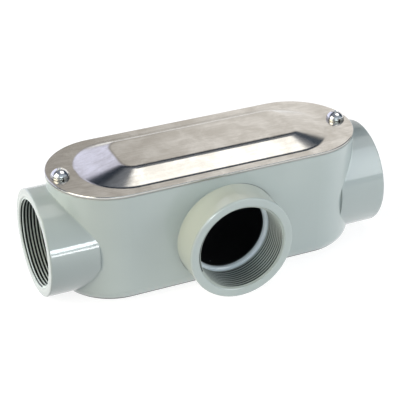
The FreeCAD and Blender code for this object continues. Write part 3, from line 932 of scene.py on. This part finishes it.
def gasket_material():
    """Matt rubber sheet with a fine grain."""
    material, tree, shader = new_material("gasket_rubber")
    place = object_coordinates(tree)
    grain = noise(tree, place, 1200.0, 3.0, 0.6)
    colour = settings().finishes.gasket_colour
    tint = blend_colours(tree, grain, colour, tuple(0.75 * part for part in colour))
    tree.links.new(tint, shader.inputs["Base Color"])
    shader.inputs["Roughness"].default_value = 0.8
    bump = add_node(tree, "Bump", {"Strength": 0.3, "Distance": 0.00005, "Height": grain})
    tree.links.new(bump.outputs[0], shader.inputs["Normal"])
    return material


# Studio helpers

def look_matrix(studio):
    """Return the camera's placement from its angles and slides."""
    azimuth, elevation, roll = studio.azimuth, studio.elevation, studio.roll
    back = Vector((
        math.sin(azimuth) * math.cos(elevation),
        -math.cos(azimuth) * math.cos(elevation),
        math.sin(elevation),
    ))
    right = Vector((math.cos(azimuth), math.sin(azimuth), 0.0))
    up = back.cross(right)
    rolled_right = math.cos(roll) * right + math.sin(roll) * up
    rolled_up = math.cos(roll) * up - math.sin(roll) * right
    aim = Vector((0.0, 0.0, WASHER_SEAT - studio.aim_below_cover))
    place = aim + back * studio.distance + rolled_right * studio.slide_right + rolled_up * studio.slide_up
    turn = Matrix((rolled_right, rolled_up, back)).transposed().to_4x4()
    return Matrix.Translation(place) @ turn


def add_lamp(name, place, aim, width, height, radiance, colour):
    """Add a rectangular lamp of a given brightness that the camera doesn't see."""
    light = bpy.data.lights.new(name, "AREA")
    light.shape = "RECTANGLE"
    light.size = width
    light.size_y = height
    light.energy = radiance * math.pi * width * height
    light.color = colour
    lamp = bpy.data.objects.new(name, light)
    away = Vector(place) - Vector(aim)
    lamp.matrix_world = Matrix.Translation(place) @ away.to_track_quat("Z", "Y").to_matrix().to_4x4()
    lamp.visible_camera = False
    bpy.context.scene.collection.objects.link(lamp)
    return lamp


def surroundings():
    """Light the world like a tent: pale backdrop, dark gap above it and a soft box overhead."""
    world = bpy.data.worlds.new("studio_tent")
    bpy.context.scene.world = world
    world.use_nodes = True
    tree = world.node_tree
    tree.nodes.clear()
    direction = add_node(tree, "TexCoord").outputs["Generated"]
    x, y, z = split(tree, direction)
    height = calculate(tree, "MAXIMUM", z, 0.001)
    across = calculate(tree, "DIVIDE", x, height)
    depth = calculate(tree, "DIVIDE", y, height)

    # Backdrop behind the object: darker towards the left, lighter towards the right
    far_side = smooth_step(tree, depth, 1.00, 1.20)
    heading = calculate(tree, "DIVIDE", x, calculate(tree, "MAXIMUM", y, 0.05))
    drift = smooth_step(tree, heading, 0.24, 0.50)
    backdrop = blend_colours(tree, drift, BACKDROP_LEFT, BACKDROP_RIGHT)
    lavender = reversed_share(tree, smooth_step(tree, heading, 0.12, 0.27))
    backdrop = blend_colours(tree, lavender, backdrop, BACKDROP_LAVENDER)

    # Overhead soft box, the dark gap round it and the dim ceiling
    box_across = band(tree, across, 0.10, 0.80, 0.07)
    box_depth = band(tree, depth, -0.25, 0.29, 0.06)
    overhead = calculate(tree, "MULTIPLY", box_across, box_depth)
    gap = smooth_step(tree, depth, 0.50, 0.74)
    dim = blend_colours(tree, gap, CEILING_DIM, CEILING_GAP)
    dim = blend_colours(tree, smooth_step(tree, across, 0.78, 0.95), dim, CEILING_RIGHT)
    ceiling = blend_colours(tree, overhead, dim, SOFT_BOX)
    behind_camera = reversed_share(tree, smooth_step(tree, depth, -0.60, -0.35))
    level = settings().studio.front_light
    tent_light = tuple(part * level for part in TENT_TINT)
    ceiling = blend_colours(tree, behind_camera, ceiling, tent_light)
    upper = blend_colours(tree, far_side, ceiling, backdrop)

    # Below the horizon everything is the white floor's light
    above = smooth_step(tree, z, -0.01, 0.01)
    tent = blend_colours(tree, above, BELOW_HORIZON, upper)
    lit = add_node(tree, "Background", {"Color": tent, "Strength": 1.0})
    white = add_node(tree, "Background", {"Color": WHITE, "Strength": 1.0})
    looked_at = add_node(tree, "LightPath").outputs["Is Camera Ray"]
    chosen = add_node(tree, "MixShader", {0: looked_at, 1: lit.outputs[0], 2: white.outputs[0]})
    output = add_node(tree, "OutputWorld")
    tree.links.new(chosen.outputs[0], output.inputs["Surface"])


def floor_material():
    """White floor that keeps a faint shadow and returns less light at the left."""
    material, tree, shader = new_material("white_floor")
    shader.inputs["Roughness"].default_value = 0.9
    path = add_node(tree, "LightPath")
    rightward = smooth_step(tree, split(tree, object_coordinates(tree))[0], -0.13, -0.05)
    returned = blend_colours(tree, rightward, FLOOR_SHADE_COLOUR, FLOOR_COLOUR)
    bounce = blend_colours(tree, path.outputs["Is Diffuse Ray"], FLOOR_COLOUR, returned)
    tree.links.new(bounce, shader.inputs["Base Color"])
    white = add_node(tree, "Emission", {"Color": WHITE, "Strength": 1.2})
    looked_at = calculate(tree, "MAXIMUM", path.outputs["Is Camera Ray"], path.outputs["Is Glossy Ray"])
    seen = calculate(tree, "MULTIPLY", looked_at, settings().studio.floor_lift)
    glow = calculate(tree, "MULTIPLY", rightward, settings().studio.floor_glow)
    share = calculate(tree, "MAXIMUM", seen, glow)
    mixed = add_node(tree, "MixShader", {0: share, 1: shader.outputs[0], 2: white.outputs[0]})
    output = next(node for node in tree.nodes if node.type == "OUTPUT_MATERIAL")
    tree.links.new(mixed.outputs[0], output.inputs["Surface"])
    return material


class CONDUIT_OT_casting(Operator):
    """Give the casting its enamel, with its painted shade and painted light"""

    bl_idname = "conduit.casting"
    bl_label = "Finish casting"

    def execute(self, context):
        NODES["body_casting"].material_slots[0].material = enamel_material()
        return {"FINISHED"}


class CONDUIT_OT_cover(Operator):
    """Give the cover its bare sheet finish and the gasket its rubber"""

    bl_idname = "conduit.cover"
    bl_label = "Finish cover"

    def execute(self, context):
        NODES["cover_plate"].material_slots[0].material = cover_material()
        NODES["cover_gasket"].material_slots[0].material = gasket_material()
        return {"FINISHED"}


class CONDUIT_OT_threads(Operator):
    """Cut the thread in each of the three hubs"""

    bl_idname = "conduit.threads"
    bl_label = "Cut threads"

    def execute(self, context):
        material = thread_material()
        for outlet in ("run_outlet_left", "run_outlet_right", "branch_outlet"):
            mount = MOUNTS[outlet]
            wall_length = mount["dims"]["length_mm"] * 0.001
            axis = Vector(mount["axis"])
            bore_radius = mount["dims"]["r_mm"] * 0.001
            length = wall_length - settings().threads.run_in
            bm = thread_mesh(bore_radius, length)
            mark_depth(bm, bore_radius, length)
            inner_end = Vector(mount["pos_m"]) - axis * wall_length / 2
            bm.transform(Matrix.Translation(inner_end) @ turn_to(axis))
            finish_piece(outlet.replace("outlet", "thread"), bm, material)
        return {"FINISHED"}


class CONDUIT_OT_screws(Operator):
    """Turn the two round-head cover screws"""

    bl_idname = "conduit.screws"
    bl_label = "Turn screws"

    def execute(self, context):
        colour = settings().finishes.plating_colour
        material = plated_material("bright_plating", colour, roughness=0.12, mark_strength=0.08)
        for side in SIDES:
            node = f"cover_screw_{side}"
            low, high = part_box(node)
            head_radius = (high.y - low.y) / 2
            shank_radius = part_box(f"lock_washer_{side}")[1].y * SHANK_SHARE
            mesh = screw_mesh(head_radius, high.z - HEAD_SEAT, shank_radius, HEAD_SEAT - low.z)
            middle = centre_of(node)
            turn = Matrix.Rotation(SCREW_TURNS[side], 4, "Z")
            mesh.transform(Matrix.Translation((middle.x, middle.y, HEAD_SEAT)) @ turn)
            piece = finish_piece(f"round_head_screw_{side}", mesh, material)
            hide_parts(node)
        return {"FINISHED"}


class CONDUIT_OT_washers(Operator):
    """Coil the two split washers"""

    bl_idname = "conduit.washers"
    bl_label = "Coil washers"

    def execute(self, context):
        colour = settings().finishes.washer_colour
        material = plated_material("washer_plating", colour, roughness=0.22, mark_strength=0.35)
        for side in SIDES:
            node = f"lock_washer_{side}"
            low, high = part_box(node)
            outer = (high.x - low.x) / 2
            bm = washer_mesh(outer, outer * WASHER_HOLE_SHARE, high.z - low.z)
            middle = centre_of(node)
            bm.transform(Matrix.Translation((middle.x, middle.y, low.z)))
            piece = finish_piece(f"split_washer_{side}", bm, material)
            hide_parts(node)
        return {"FINISHED"}


class CONDUIT_OT_stage(Operator):
    """Set up the floor, the surroundings, the lamps and the camera"""

    bl_idname = "conduit.stage"
    bl_label = "Set stage"

    def execute(self, context):
        scene = context.scene
        studio = settings().studio
        scene.view_settings.view_transform = "Standard"
        surroundings()

        bm = bmesh.new()
        bmesh.ops.create_grid(bm, x_segments=1, y_segments=1, size=studio.floor_size / 2)
        mesh = bpy.data.meshes.new("floor")
        bm.to_mesh(mesh)
        bm.free()
        mesh.materials.append(floor_material())
        floor = bpy.data.objects.new("floor", mesh)
        scene.collection.objects.link(floor)

        middle = (0.0, 0.0, AXIS_HEIGHT)
        lamps = (
            ("left_key", (-0.90, -0.42, 0.42), 0.45, 0.45, studio.key_light, (1.0, 0.96, 0.86)),
            ("left_side", (-1.00, -0.20, 0.42), 0.50, 0.30, studio.side_light, (1.0, 0.91, 0.69)),
            ("left_back", (-0.80, 0.55, 0.30), 0.50, 0.50, studio.back_light, (0.93, 0.98, 1.0)),
            ("front_fill", (-0.12, -1.00, 0.12), 0.60, 0.20, studio.fill_light, (0.78, 0.94, 1.0)),
            ("high_left", (-0.75, -0.12, 0.68), 0.60, 0.60, studio.top_light, (1.0, 0.95, 0.80)),
            ("low_right", (0.95, -0.45, 0.25), 0.80, 0.50, studio.right_light, (0.95, 0.98, 1.0)),
        )
        for name, place, width, height, radiance, colour in lamps:
            lamp = add_lamp(name, place, middle, width, height, radiance, colour)
            lamp.visible_glossy = name not in HIDDEN_FROM_GLOSS
        casting_only = bpy.data.collections.new("casting_only")
        casting_only.objects.link(NODES["body_casting"])
        mirrored = []
        for name, rise, height in (("upper_strip", 0.085, 0.050), ("lower_strip", -0.085, 0.032)):
            place = LEFT_HUB + Vector((0.247, -0.967, rise)).normalized() * STRIP_REACH
            strip = add_lamp(name, place, LEFT_HUB, STRIP_WIDTH, height, studio.strip_light, STRIP_COLOUR)
            mirrored.append(strip)
        place = RIGHT_HUB + PANEL_OFFSET
        panel = add_lamp("right_panel", place, RIGHT_HUB, *PANEL_SIZE, studio.panel_light, PANEL_COLOUR)
        mirrored.append(panel)
        for lamp in mirrored:
            lamp.visible_diffuse = False
            lamp.light_linking.receiver_collection = casting_only

        data = bpy.data.cameras.new("photograph_view")
        data.sensor_width = 36.0
        data.lens = studio.lens
        data.clip_start = 0.05
        data.clip_end = 20.0
        camera = bpy.data.objects.new("photograph_view", data)
        camera.matrix_world = look_matrix(studio)
        scene.collection.objects.link(camera)
        scene.camera = camera
        return {"FINISHED"}


STEPS = (
    CONDUIT_OT_casting,
    CONDUIT_OT_cover,
    CONDUIT_OT_threads,
    CONDUIT_OT_screws,
    CONDUIT_OT_washers,
    CONDUIT_OT_stage,
)


class CONDUIT_PT_sidebar(Panel):
    """Lists the steps that dress the conduit body"""

    bl_idname = "CONDUIT_PT_sidebar"
    bl_label = "Conduit body"
    bl_space_type = "VIEW_3D"
    bl_region_type = "UI"
    bl_category = "Conduit body"

    def draw(self, context):
        for step in STEPS:
            self.layout.operator(step.bl_idname)


CLASSES = (ThreadSizes, ScrewSizes, Finishes, Studio, ConduitBodySettings, *STEPS, CONDUIT_PT_sidebar)


def register():
    """Register the classes and the scene's settings."""
    for item in CLASSES:
        bpy.utils.register_class(item)
    bpy.types.Scene.conduit_body = PointerProperty(type=ConduitBodySettings)


def unregister():
    """Remove the settings and the classes."""
    del bpy.types.Scene.conduit_body
    for item in reversed(CLASSES):
        bpy.utils.unregister_class(item)


def main():
    """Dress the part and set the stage."""
    register()
    bpy.ops.conduit.casting()
    bpy.ops.conduit.cover()
    bpy.ops.conduit.threads()
    bpy.ops.conduit.screws()
    bpy.ops.conduit.washers()
    bpy.ops.conduit.stage()


if __name__ == "__main__":
    main()
